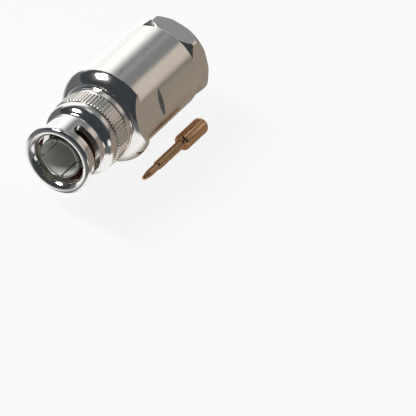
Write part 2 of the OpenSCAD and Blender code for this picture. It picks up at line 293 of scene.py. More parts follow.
def makeHairlines():
    # short handling scratches in two directions, and their breaks
    tree, given, result = newGroup("hairlines", {"Density": 0.5}, {"Mask": "NodeSocketFloat"})
    here = turnedPlace(tree)[0]
    found = []
    for turn, stretch in (((0.3, 0.2, 0.6), (9.0, 0.35, 6.0)), ((0.9, -0.4, -0.7), (0.4, 8.0, 5.0))):
        placed = addNode(tree, "ShaderNodeMapping", {"Vector": here, "Rotation": turn, "Scale": stretch})
        lines = addNode(tree, "ShaderNodeTexNoise",
                        {"Vector": placed.outputs[0], "Scale": 1.0, "Detail": 2.0}).outputs[0]
        lowest = sums(tree, "SUBTRACT", 0.74, sums(tree, "MULTIPLY", given.outputs["Density"], 0.1))
        found.append(addNode(tree, "ShaderNodeMapRange", {
            "Value": lines, "From Min": lowest, "From Max": 0.74}).outputs[0])
    both = sums(tree, "MAXIMUM", *found)
    gaps = addNode(tree, "ShaderNodeTexNoise", {"Vector": here, "Scale": 0.9, "Detail": 2.0})
    kept = addNode(tree, "ShaderNodeMapRange", {"Value": gaps.outputs[0], "From Min": 0.4, "From Max": 0.6})
    tree.links.new(sums(tree, "MULTIPLY", both, kept.outputs[0]), result.inputs["Mask"])
    return tree


def makeSpecks():
    # scattered tiny pits and dust grains
    tree, given, result = newGroup("specks", {"Per mm": 2.2, "Size": 0.08}, {"Mask": "NodeSocketFloat"})
    here = turnedPlace(tree)[0]
    cells = addNode(tree, "ShaderNodeTexVoronoi", {"Vector": here, "Scale": given.outputs["Per mm"]})
    chosen = addNode(tree, "ShaderNodeSeparateColor", {0: cells.outputs["Color"]})
    size = sums(tree, "MULTIPLY", given.outputs["Size"], chosen.outputs[1])
    spot = addNode(tree, "ShaderNodeMapRange", {"Value": cells.outputs["Distance"], "From Min": 0.0,
                                                "From Max": sums(tree, "ADD", size, 0.001),
                                                "To Min": 1.0, "To Max": 0.0})
    kept = sums(tree, "GREATER_THAN", chosen.outputs[0], 0.8)
    tree.links.new(sums(tree, "MULTIPLY", spot.outputs[0], kept), result.inputs["Mask"])
    return tree


def makeEdgeWear():
    # where the finish is rubbed along edges, broken up
    tree, given, result = newGroup("edgeWear", {"Amount": 0.6}, {"Mask": "NodeSocketFloat"})
    here = turnedPlace(tree)[0]
    near = addNode(tree, "ShaderNodeAttribute", attribute_name="edgeNear")
    breaks = addNode(tree, "ShaderNodeTexNoise", {"Vector": here, "Scale": 2.4, "Detail": 4.0})
    broken = addNode(tree, "ShaderNodeMapRange", {
        "Value": breaks.outputs[0], "From Min": 0.35, "From Max": 0.62}).outputs[0]
    rubbed = sums(tree, "MULTIPLY", near.outputs["Fac"], broken)
    tree.links.new(sums(tree, "MULTIPLY", rubbed, given.outputs["Amount"]), result.inputs["Mask"])
    return tree


def makeFromAxis():
    # distance from the plug's axis in millimetres
    tree, _, result = newGroup("fromAxis", {}, {"Radius": "NodeSocketFloat"})
    tree.links.new(turnedPlace(tree)[2], result.inputs["Radius"])
    return tree


latheMarks, hairlines, specks, edgeWear = makeLatheMarks(), makeHairlines(), makeSpecks(), makeEdgeWear()
fromAxis = makeFromAxis()
print("node groups made")


def useGroup(tree, group, **inputs):
    node = tree.nodes.new("ShaderNodeGroup")
    node.node_tree = group
    for key, value in inputs.items():
        node.inputs[key.replace("_", " ")].default_value = value
    return node


def newMaterial(name):
    material = bpy.data.materials.new(name)
    material.use_nodes = True
    tree = material.node_tree
    tree.nodes.clear()
    shader = tree.nodes.new("ShaderNodeBsdfPrincipled")
    tree.links.new(shader.outputs[0], tree.nodes.new("ShaderNodeOutputMaterial").inputs[0])
    return material, tree, shader


def mixColours(tree, share, low, high):
    node = addNode(tree, "ShaderNodeMix", data_type="RGBA")
    for socket, value in ((node.inputs[0], share), (node.inputs[6], low), (node.inputs[7], high)):
        if isinstance(value, bpy.types.NodeSocket):
            tree.links.new(value, socket)
        else:
            socket.default_value = value
    return node.outputs[2]


def platedMetal(name, look):
    # a plated, turned metal: colour, roughness and height all vary with the same marks
    material, tree, shader = newMaterial(name)
    marks = useGroup(tree, latheMarks, Lines_per_mm=look["linesPerMm"], Unevenness=0.6)
    scratches = useGroup(tree, hairlines, Density=look["scratches"])
    dust = useGroup(tree, specks, Per_mm=2.2, Size=look["speckSize"])
    rubbed = useGroup(tree, edgeWear, Amount=look["edgeWear"])
    place = tree.nodes.new("ShaderNodeTexCoord")
    clouds = addNode(tree, "ShaderNodeTexNoise", {
        "Vector": place.outputs["Object"], "Scale": 420.0, "Detail": 5.0, "Roughness": 0.6})
    tint = mixColours(tree, clouds.outputs[0], look["colour"], look["shade"])
    tint = mixColours(tree, rubbed.outputs["Mask"], tint, look["worn"])
    tree.links.new(mixColours(tree, dust.outputs["Mask"], tint, look["speck"]), shader.inputs["Base Color"])
    rough = addNode(tree, "ShaderNodeMapRange", {
        "Value": clouds.outputs[0], "From Min": 0.3, "From Max": 0.7,
        "To Min": look["roughness"] * 0.8, "To Max": look["roughness"] * 1.25}).outputs[0]
    uneven = sums(tree, "SUBTRACT", marks.outputs["Mask"], 0.5)
    rough = sums(tree, "ADD", rough, sums(tree, "MULTIPLY", uneven, look["markRoughness"]))
    rough = sums(tree, "ADD", rough, sums(tree, "MULTIPLY", scratches.outputs["Mask"], 0.12))
    rough = sums(tree, "ADD", rough, sums(tree, "MULTIPLY", rubbed.outputs["Mask"], 0.15))
    tree.links.new(rough, shader.inputs["Roughness"])
    shader.inputs["Metallic"].default_value = 1.0
    height = sums(tree, "ADD", sums(tree, "MULTIPLY", marks.outputs["Height"], look["markDepth"]),
                  sums(tree, "MULTIPLY", scratches.outputs["Mask"], -0.25 * look["scratches"]))
    height = sums(tree, "ADD", height, sums(tree, "MULTIPLY", dust.outputs["Mask"], 0.5))
    height = sums(tree, "ADD", height, sums(tree, "MULTIPLY", clouds.outputs[0], look["waviness"]))
    bump = addNode(tree, "ShaderNodeBump", {"Height": height, "Strength": 0.5, "Distance": 0.00001})
    tree.links.new(bump.outputs[0], shader.inputs["Normal"])
    return material


def boreWithPaintedLight(material, look):
    # the inner wall of a tube: duller than the turned outside, and painted paler as painted light inside the
    # mouth
    tree = material.node_tree
    shader = next(n for n in tree.nodes if n.type == "BSDF_PRINCIPLED")
    mask = addNode(tree, "ShaderNodeMapRange", {
        "Value": useGroup(tree, fromAxis).outputs["Radius"],
        "From Min": look["radius"] + 0.04, "From Max": look["radius"]}).outputs[0]
    # the paler colour inside the bore is painted light
    colour = shader.inputs["Base Color"].links[0].from_socket
    tree.links.new(mixColours(tree, mask, colour, look["colour"]), shader.inputs["Base Color"])
    rough = shader.inputs["Roughness"].links[0].from_socket
    rough = sums(tree, "ADD", rough, sums(tree, "MULTIPLY", mask, look["duller"]))
    tree.links.new(rough, shader.inputs["Roughness"])
    metal = sums(tree, "SUBTRACT", 1.0, sums(tree, "MULTIPLY", mask, look["lessMetal"]))
    tree.links.new(metal, shader.inputs["Metallic"])


nickelLook = {"colour": (0.72, 0.70, 0.67, 1), "shade": (0.66, 0.63, 0.60, 1), "worn": (0.80, 0.74, 0.62, 1),
              "speck": (0.85, 0.83, 0.80, 1), "roughness": 0.10, "linesPerMm": 7.0, "markDepth": 0.25,
              "markRoughness": 0.08, "scratches": 0.5, "speckSize": 0.07, "edgeWear": 0.5, "waviness": 0.4}
goldLook = {"colour": (0.72, 0.44, 0.24, 1), "shade": (0.58, 0.34, 0.18, 1), "worn": (0.80, 0.56, 0.30, 1),
            "speck": (0.85, 0.62, 0.40, 1), "roughness": 0.20, "linesPerMm": 9.0, "markDepth": 0.5,
            "markRoughness": 0.12, "scratches": 0.4, "speckSize": 0.06, "edgeWear": 0.4, "waviness": 0.6}
nickel = platedMetal("bright_nickel", nickelLook)
nickelBarrel = platedMetal("turned_nickel", {
    **nickelLook, "roughness": 0.12, "markDepth": 0.35, "scratches": 0.9, "speckSize": 0.1})
nickelMilled = platedMetal("milled_nickel", {**nickelLook, "roughness": 0.14, "linesPerMm": 5.0})
fingerMetal = platedMetal("silvered_contact", {
    **nickelLook, "colour": (0.44, 0.44, 0.40, 1), "shade": (0.34, 0.34, 0.31, 1), "roughness": 0.46,
    "markRoughness": 0.05, "edgeWear": 0.25})
contactGold = platedMetal("worn_gold", goldLook)
# the bore is painted pale as painted light inside the mouth, on a satin, less metallic wall
boreWithPaintedLight(fingerMetal, {"radius": 3.5, "colour": (0.80, 0.80, 0.75, 1), "duller": 0.2, "lessMetal": 0.85})
springSteel = platedMetal("spring_steel", {
    **nickelLook, "colour": (0.42, 0.43, 0.45, 1), "shade": (0.30, 0.30, 0.32, 1),
    "worn": (0.60, 0.60, 0.60, 1), "roughness": 0.28, "linesPerMm": 10.0})
waveSteel = platedMetal("blued_spring_steel", {
    **nickelLook, "colour": (0.40, 0.42, 0.46, 1), "shade": (0.28, 0.28, 0.30, 1),
    "worn": (0.62, 0.60, 0.56, 1), "roughness": 0.24, "linesPerMm": 4.0, "markDepth": 0.5})
washerMetal = platedMetal("stamped_washer", {
    **nickelLook, "roughness": 0.22, "markDepth": 0.6, "scratches": 0.8})
clampMetal = platedMetal("tinned_brass", {
    **nickelLook, "colour": (0.55, 0.52, 0.44, 1), "shade": (0.42, 0.38, 0.30, 1),
    "worn": (0.66, 0.50, 0.26, 1), "roughness": 0.34, "edgeWear": 0.8})


def mouldedStuff(name, look):
    # rubber or plastic: a cloudy tint, fine grain and a few dust grains
    material, tree, shader = newMaterial(name)
    place = tree.nodes.new("ShaderNodeTexCoord").outputs["Object"]
    clouds = addNode(tree, "ShaderNodeTexNoise", {
        "Vector": place, "Scale": look["cloudScale"], "Detail": 5.0, "Roughness": 0.6})
    grain = addNode(tree, "ShaderNodeTexNoise", {"Vector": place, "Scale": look["grainScale"], "Detail": 3.0})
    marks = useGroup(tree, latheMarks, Lines_per_mm=look["linesPerMm"], Unevenness=0.7)
    dust = useGroup(tree, specks, Per_mm=1.8, Size=0.06)
    share = addNode(tree, "ShaderNodeMapRange", {
        "Value": clouds.outputs[0], "From Min": 0.3, "From Max": 0.7}).outputs[0]
    tint = mixColours(tree, share, look["colour"], look["shade"])
    tree.links.new(mixColours(tree, dust.outputs["Mask"], tint, look["dust"]), shader.inputs["Base Color"])
    rough = sums(tree, "ADD", look["roughness"] - 0.08, sums(tree, "MULTIPLY", grain.outputs[0], 0.16))
    tree.links.new(rough, shader.inputs["Roughness"])
    turned = sums(tree, "MULTIPLY", marks.outputs["Height"], look["markDepth"])
    height = sums(tree, "ADD", grain.outputs[0], turned)
    bump = addNode(tree, "ShaderNodeBump", {"Height": height, "Strength": 0.6, "Distance": 0.00003})
    tree.links.new(bump.outputs[0], shader.inputs["Normal"])
    shader.inputs["IOR"].default_value = look["ior"]
    return material


blackRubber = mouldedStuff("black_rubber", {
    "colour": (0.018, 0.018, 0.019, 1), "shade": (0.035, 0.034, 0.033, 1), "dust": (0.22, 0.21, 0.19, 1),
    "cloudScale": 300.0, "grainScale": 5200.0, "linesPerMm": 2.0, "markDepth": 0.2,
    "roughness": 0.55, "ior": 1.5})
redSilicone = mouldedStuff("red_silicone", {
    "colour": (0.30, 0.055, 0.035, 1), "shade": (0.20, 0.035, 0.025, 1), "dust": (0.45, 0.30, 0.25, 1),
    "cloudScale": 380.0, "grainScale": 4200.0, "linesPerMm": 2.5, "markDepth": 0.2,
    "roughness": 0.46, "ior": 1.42})
whitePtfe = mouldedStuff("white_ptfe", {
    "colour": (0.80, 0.80, 0.77, 1), "shade": (0.70, 0.70, 0.66, 1), "dust": (0.40, 0.38, 0.34, 1),
    "cloudScale": 240.0, "grainScale": 3000.0, "linesPerMm": 5.0, "markDepth": 0.9,
    "roughness": 0.42, "ior": 1.36})
print("materials made")


# millimetres and degrees; starts and ends are places behind the front rim
couplingNut = {
    "rimRadius": 6.8, "rimLength": 1.3, "neckRadius": 6.1, "neckLength": 6.1, "bellRadius": 7.15,
    "gripRadius": 7.35, "gripStart": 9.7, "length": 13.1, "ribs": 68, "ribDepth": 0.22, "stepsPerRib": 10,
    "ribShare": 0.4, "ribFlank": 0.2, "ribCrown": 0.018,
    "boreRadius": 4.9, "mouthRadius": 5.8, "mouthDepth": 1.1, "grooveRadius": 5.65, "slotWidth": 2.2,
    "slotStart": 3.8, "slotRise": 0.7, "slotTurn": 90, "pocketExtra": 0.2, "detent": 0.35, "grooveAngle": 11,
    "chamberRadius": 5.95, "chamberStart": 7.0, "lipStart": 11.35, "lipRadius": 5.35, "slotEdge": 0.06}


def ribbed(radius, place, angles):
    # the grip's ribs, with grooves between them
    s = couplingNut
    radii = np.full(len(angles), float(radius))
    if place < s["gripStart"] + 0.02 or radius < s["gripRadius"] - 0.35:
        return radii
    turn = (angles / (2 * math.pi) * s["ribs"]) % 1.0
    share, flank = s["ribShare"], s["ribFlank"]
    groove = np.clip(np.minimum((turn - share) / flank, (1.0 - turn) / flank), 0, 1)
    crown = s["ribCrown"] * np.cos((turn - share / 2) / share * math.pi).clip(0, 1)
    floor = s["gripRadius"] - s["ribDepth"]
    rounded = (1 - groove) * (s["ribCrown"] - crown)      # each rib's slightly rounded crest
    return np.minimum(radii, radii - (radii - floor).clip(0) * groove - rounded)


def flare(half):
    # across a slot: (radius, half width), opening out just under the neck's surface
    s = couplingNut
    return [(s["boreRadius"] - 1, half), (s["neckRadius"] - s["slotEdge"], half),
            (s["neckRadius"] + 0.3, half + s["slotEdge"] + 0.3)]


def slotBand(name, start, half):
    # the climbing part of a bayonet slot
    s = couplingNut
    turn, steps, levels = math.radians(s["slotTurn"]), 90, flare(half)
    section = [(r, -w) for r, w in levels] + [(r, w) for r, w in reversed(levels)]
    vertices, faces = [], []
    for k in range(steps + 1):
        a, middle = start + turn * k / steps, s["slotStart"] + s["slotRise"] * k / steps
        vertices += [(r * math.cos(a), r * math.sin(a), middle + w) for r, w in section]
    for k in range(steps):
        for i in range(6):
            j = (i + 1) % 6
            faces.append((6 * k + i, 6 * k + j, 6 * k + 6 + j, 6 * k + 6 + i))
    return newPiece(name, vertices, faces + [(0, 1, 2, 3, 4, 5), tuple(6 * steps + i for i in range(6))])


def slotPocket(name, angle, place, half, steps=64):
    # the round pocket at either end of a bayonet slot
    levels = flare(half)
    neck = couplingNut["neckRadius"]
    vertices, faces = [], []
    for r, w in levels:
        for k in range(steps):
            t = 2 * math.pi * (k + 0.5) / steps
            a = angle + w * math.cos(t) / neck
            vertices.append((r * math.cos(a), r * math.sin(a), place + w * math.sin(t)))
    for r, w in (levels[0], levels[-1]):
        vertices.append((r * math.cos(angle), r * math.sin(angle), place))
    for k in range(steps):
        m = (k + 1) % steps
        faces += [(k, m, steps + m, steps + k), (steps + k, steps + m, 2 * steps + m, 2 * steps + k),
                  (k, m, 3 * steps), (2 * steps + k, 2 * steps + m, 3 * steps + 1)]
    return newPiece(name, vertices, faces)


def makeCouplingNut():
    s = couplingNut
    bead = s["rimLength"] * 0.4
    dip = (s["neckRadius"] + 0.35, s["neckLength"] + 0.85)
    rim, rimEnd, neck, bell = s["rimRadius"], s["rimLength"], s["neckRadius"], s["bellRadius"]
    grip, gripAt, length, bore = s["gripRadius"], s["gripStart"], s["length"], s["boreRadius"]
    outline = quarterRound((rim - bead, 0), (rim, bead), steps=10)
    outline += quarterRound((rim, rimEnd - bead / 2), (rim - bead / 2, rimEnd))
    outline += quarterRound((neck + 0.2, rimEnd), (neck, rimEnd + 0.2), -1)
    outline += [(neck, rimEnd + 0.2 + (s["neckLength"] - rimEnd - 0.2) * t / 8) for t in range(1, 8)]
    outline += bulge((neck, s["neckLength"]), dip, -0.13)
    outline += bulge(dip, (bell, gripAt - 0.6), 0.3, 14)[1:]
    outline += softened([(bell, gripAt - 0.6), (bell, gripAt - 0.32, 0.08), (bell - 0.2, gripAt - 0.27, 0.04),
                         (bell - 0.2, gripAt, 0.03), (grip - 0.2, gripAt, 0.04),
                         (grip, gripAt + 0.2, 0.05), (grip, length - 0.2, 0.05),
                         (grip - 0.2, length, 0.04), (s["lipRadius"], length, 0.08),
                         (s["lipRadius"], s["lipStart"], 0.05), (s["chamberRadius"], s["lipStart"]),
                         (s["chamberRadius"], s["chamberStart"]), (bore, s["chamberStart"], 0.06),
                         (bore, s["mouthDepth"])])[1:-1]
    outline += bulge((bore, s["mouthDepth"]), (s["mouthRadius"], 0), 0.15)
    nut = turnedPiece("coupling_nut_dressed", outline, s["ribs"] * s["stepsPerRib"], ribbed)
    tools = []
    half = s["slotWidth"] / 2
    for i, start in enumerate((s["grooveAngle"], s["grooveAngle"] + 180)):
        a, turn = math.radians(start), math.radians(s["slotTurn"])
        pocket = half + s["pocketExtra"] / 2
        low, high = (0.3, -half, -1), (s["grooveRadius"], half, s["slotStart"] + 0.1)
        tools.append(gridBox(f"lugGroove{i}", low, high, 0.5, a))
        tools.append(slotBand(f"slot{i}", a, half))
        tools.append(slotPocket(f"slotIn{i}", a, s["slotStart"], pocket))
        endAt = s["slotStart"] + s["slotRise"] - s["detent"]
        tools.append(slotPocket(f"slotEnd{i}", a + turn, endAt, pocket))
    cutBy(nut, tools)
    return dressed(nut, nickel, "coupling_nut", "coupling_nut")


makeCouplingNut()


# one turned piece: hub, collar, dome, flange and barrel
bodyPiece = {
    "hubRadius": 5.3, "tailRadius": 4.22, "tailEnd": 15.4, "collarStart": 13.4, "collarRadius": 7.0,
    "domeStart": 14.4, "flangeRadius": 9.5, "flangeFront": 17.2, "flangeBack": 17.55, "barrelRadius": 8.65,
    "barrelEnd": 35.55, "flatsAcross": 16.2, "flatsEnd": 23.65, "flatsAngle": 60, "coreRadius": 3.7,
    "chamberRadius": 7.1, "chamberStart": 19.85, "threadRadius": 7.75, "threadStart": 27.7,
    "threadDepth": 0.3, "threadSteps": 110, "mouthBevel": 0.25, "pitch": 1.0,
    "snapStart": 8.73, "snapEnd": 9.57, "snapRadius": 4.85}


def threaded(radius, place, angles):
    # the inner thread, cut outwards from the bore that the clamp nut's crests pass
    s = bodyPiece
    radii = np.full(len(angles), float(radius))
    last = s["barrelEnd"] - s["mouthBevel"]
    if abs(radius - s["threadRadius"]) > 0.01 or not s["threadStart"] < place < last:
        return radii
    turn = ((place - angles / (2 * math.pi) * s["pitch"]) / s["pitch"]) % 1.0
    ends = min(1, (place - s["threadStart"]) / 0.5, (last - place) / 0.5)
    return radii + s["threadDepth"] * ends * np.clip(1.25 - np.abs(turn - 0.5) * 3.2, 0, 1)


def makeBody():
    s = bodyPiece
    fillet = (s["collarRadius"] + 0.6, s["domeStart"] + 0.6)
    hub, collar, flange, barrel = s["hubRadius"], s["collarRadius"], s["flangeRadius"], s["barrelRadius"]
    tail, core, chamber, thread = s["tailRadius"], s["coreRadius"], s["chamberRadius"], s["threadRadius"]
    last, snap = s["barrelEnd"] - s["mouthBevel"], s["snapRadius"]
    outline = softened([(tail, s["tailEnd"]), (tail, hubFace, 0.05), (hub, hubFace, 0.15),
                        (hub, s["snapStart"], 0.03), (snap, s["snapStart"]), (snap, s["snapEnd"]),
                        (hub, s["snapEnd"], 0.03), (hub, s["collarStart"]), (collar, s["collarStart"], 0.16),
                        (collar, s["domeStart"])])[1:-1]
    outline += quarterRound((collar, s["domeStart"]), fillet, -1, 10)
    outline += bulge(fillet, (flange, s["flangeFront"]), 0.22, 20)[1:-1]
    outline += softened([fillet, (flange, s["flangeFront"], 0.06), (flange, s["flangeBack"], 0.05),
                         (barrel, s["flangeBack"], 0.15), (barrel, s["barrelEnd"], 0.15),
                         (thread, s["barrelEnd"], 0.15), (thread, last)])[1:-1]
    turns, steps = last - s["threadStart"], s["threadSteps"]
    outline += [(thread, last - turns * k / steps) for k in range(steps + 1)]
    outline += [(chamber, s["threadStart"] - 0.4)]
    outline += softened([(chamber, s["threadStart"] - 0.4), (chamber, s["chamberStart"]),
                         (core + 0.6, s["chamberStart"], 0.1), (core, s["chamberStart"] - 0.2, 0.05),
                         (core, s["tailEnd"] + 0.02), (tail, s["tailEnd"] + 0.02)])[1:]
    body = turnedPiece("body_dressed", outline, 288, threaded)
    half = s["flatsAcross"] / 2
    cutBy(body, [gridBox(f"flat{i}", (half, -5.2, s["collarStart"]), (half + 2, 5.2, s["flatsEnd"]), 0.35,
                         math.radians(s["flatsAngle"] + 180 * i)) for i in range(2)])
    return dressed(body, nickelBarrel, "root", "body")


makeBody()


# the hexagon and the threaded stem that screws into the barrel
clampNut = {
    "across": 16.0, "cornerRadius": 9.1, "hexStart": 35.75, "end": 39.85, "stemStart": 30.05,
    "stemRadius": 7.7, "boreRadius": 5.3, "crownRadius": 8.15, "frontCone": 1.0, "backCone": 1.4,
    "threadDepth": 0.5, "threadSteps": 70, "pitch": 1.0, "relief": 0.7}


def stemSpan():
    # where the stem's thread starts and ends
    return clampNut["stemStart"] + 0.4, clampNut["hexStart"] - 0.2 - clampNut["relief"]


def stemThread(radius, place, angles):
    # the outer thread, cut inwards from its crests
    s = clampNut
    radii = np.full(len(angles), float(radius))
    low, high = stemSpan()
    if abs(radius - s["stemRadius"]) > 0.01 or not low < place < high:
        return radii
    turn = ((place - angles / (2 * math.pi) * s["pitch"]) / s["pitch"]) % 1.0
    ends = min(1, (place - low) / 0.3 + 0.4, (high - place) / 0.4)
    return radii - s["threadDepth"] * ends * np.clip(np.abs(turn - 0.5) * 3.2 - 0.35, 0, 1)


def makeClampNut():
    s = clampNut
    corner, stem, bore, crown = s["cornerRadius"], s["stemRadius"], s["boreRadius"], s["crownRadius"]
    hexAt, end, steps = s["hexStart"], s["end"], s["threadSteps"]
    low, high = stemSpan()
    outline = softened([(bore, end - 0.5), (bore, s["stemStart"], 0.06), (stem - 0.4, s["stemStart"], 0.05),
                        (stem, low)])[1:-1]
    outline += [(stem, low + (high - low) * k / steps) for k in range(steps + 1)]
    outline += softened([(stem, high), (stem - 0.5, high + 0.12, 0.05), (stem - 0.5, hexAt - 0.2, 0.1),
                         (stem - 0.1, hexAt - 0.19, 0.03), (crown, hexAt, 0.12),
                         (corner, hexAt + s["frontCone"], 0.3), (corner, end - s["backCone"], 0.3),
                         (crown, end, 0.12), (bore + 0.5, end, 0.05), (bore, end - 0.5, 0.05)])[1:]
    nut = turnedPiece("clamp_nut_dressed", outline, 288, stemThread)
    half = s["across"] / 2
    cutBy(nut, [gridBox(f"hexSide{i}", (half, -7, hexAt - 1), (half + 3, 7, end + 1), 0.35,
                        math.radians(60 * i)) for i in range(6)])
    return dressed(nut, nickelMilled, "clamp_nut", "clamp_nut", 25)


makeClampNut()


# the slotted sleeve inside the coupling nut
outerContact = {
    "radius": 4.05, "waist": 3.9, "bore": 3.5, "tip": 1.1, "tailRadius": 4.2, "tailEnd": 15.4,
    "seatRadius": 3.675, "seatStart": 9.78, "slots": 4, "slotWidth": 0.35, "slotEnd": 6.1, "slotAngle": 66}


def makeOuterContact():
    s = outerContact
    bore, tip, tail, seat = s["bore"], s["tip"], s["tailRadius"], s["seatRadius"]
    outline = softened([(bore, s["seatStart"]), (bore, tip, 0.16), (s["radius"], tip, 0.2),
                        (s["radius"], tip + 0.8, 0.1), (s["waist"], tip + 1.4, 0.1), (s["waist"], hubFace),
                        (tail, hubFace, 0.1), (tail, s["tailEnd"], 0.05), (seat, s["tailEnd"], 0.05),
                        (seat, s["seatStart"])], 5)
    contact = turnedPiece("outer_contact_dressed", outline, 256)
    half = s["slotWidth"] / 2
    cutBy(contact, [gridBox(f"fingerSlot{i}", (2, -half, 0), (5, half, s["slotEnd"]), 0.35,
                            math.radians(s["slotAngle"] + 360 * i / s["slots"])) for i in range(s["slots"])])
    return dressed(contact, fingerMetal, "root", "outer_contact")


makeOuterContact()


# the open end of the solder cup lies at "end", in the frame's x and y
centreContact = {
    "end": (27.8, -11.5), "turn": 1.8, "cupRadius": 1.6, "cupLength": 7.0, "cupBore": 1.2, "cupDepth": 5.0,
    "shaftRadius": 0.85, "shaftLength": 7.8, "tipRadius": 0.675, "tipLength": 4.6}


def makeCentreContact():
    s = centreContact
    cup, shaft, tip, bore = s["cupRadius"], s["shaftRadius"], s["tipRadius"], s["cupBore"]
    cupAt, shaftAt, bottom = -s["cupLength"], -s["cupLength"] - s["shaftLength"], -s["cupDepth"]
    point = shaftAt - s["tipLength"]
    outline = [(0.02, bottom - 0.3), (bore - 0.25, bottom - 0.05), (bore, bottom + 0.2)]
    outline += softened([(bore, bottom + 0.2), (bore, 0, 0.06), (cup - 0.33, 0, 0.08), (cup, -0.5, 0.12),
                         (cup, cupAt + 0.6)])[1:]
    outline += quarterRound((cup - 0.6, cupAt), (cup, cupAt + 0.6))[::-1][1:]
    outline += softened([(cup - 0.6, cupAt), (shaft, cupAt, 0.1), (shaft, shaftAt + 0.15, 0.06),
                         (shaft - 0.1, shaftAt, 0.05), (tip, shaftAt - 0.25, 0.08), (tip, point + 1.9, 0.3),
                         (tip * 0.8, point + 1.1, 0.3), (tip * 0.65, point + 0.45)])[1:]
    outline += quarterRound((0.02, point), (tip * 0.65, point + 0.45))[::-1]
    contact = turnedPiece("centre_contact_dressed", outline[::-1], 128, closed=False)
    mesh = contact.data
    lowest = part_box("centre_contact")[0].z
    place = Matrix.Translation((s["end"][0] * mm, s["end"][1] * mm, lowest + cup * mm)) @ Matrix.Rotation(
        math.radians(-s["turn"]), 4, "Z") @ Matrix.Rotation(math.radians(90), 4, "Y") @ Matrix.Scale(mm, 4)
    mesh.transform(layDown.inverted() @ place)
    return dressed(contact, contactGold, "root", "centre_contact")


makeCentreContact()


waveWasher = {"inner": 5.4, "outer": 5.75, "at": 9.6, "height": 1.15, "strip": 0.25, "waves": 3, "steps": 240,
              "corner": 0.04, "travel": 0.6}


def makeWaveWasher():
    # a flat strip bent into waves; this piece keeps its waves, though the real washer flattens as the
    # coupling nut is drawn back
    s = waveWasher
    swing = (s["height"] - s["strip"]) / 2
    middle, half, cut = s["at"] + s["height"] / 2, s["strip"] / 2, s["corner"]
    inner, outer = s["inner"], s["outer"]
    section = [(inner + cut, -half), (outer - cut, -half), (outer, -half + cut), (outer, half - cut),
               (outer - cut, half), (inner + cut, half), (inner, half - cut), (inner, -half + cut)]
    vertices, faces, n = [], [], len(section)
    for k in range(s["steps"]):
        a = 2 * math.pi * k / s["steps"]
        lift = middle + swing * math.cos(s["waves"] * a)
        vertices += [(r * math.cos(a), r * math.sin(a), lift + h) for r, h in section]
    for k in range(s["steps"]):
        m = (k + 1) % s["steps"]
        faces += [(k * n + i, k * n + (i + 1) % n, m * n + (i + 1) % n, m * n + i) for i in range(n)]
    washer = dressed(newPiece("wave_washer_dressed", vertices, faces), waveSteel, "root", "wave_washer")
    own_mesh(washer)


makeWaveWasher()

# the other inner pieces keep their own shape
innerStuff = {
    "snap_ring": springSteel, "flat_washer": washerMetal, "slip_washer": washerMetal,
    "face_gasket": redSilicone, "cable_gasket": blackRubber, "insulator": whitePtfe,
    "braid_clamp": clampMetal}
for nodeName, stuff in innerStuff.items():
    piece = frame["nodes"][nodeName]
    piece.data.materials.clear()
    piece.data.materials.append(stuff)
print("inner pieces finished:", len(innerStuff))


# strengths of the floor's glow: seen by the camera, and the painted light and painted shadow it shows in
# mirrored rays
floorLook = {
    "halfWidth": 3.0, "colour": (0.93, 0.925, 0.92, 1), "seenWhite": 0.88, "mirroredPaintedGlow": 0.88,
    # the last three colours are painted shadow, painted warm shadow and painted light, seen in mirrored rays
    "paintedDim": (0.10, 0.115, 0.13), "paintedWarmShadow": (0.36, 0.295, 0.235), "paintedBright": (1.38, 1.40, 1.43)}


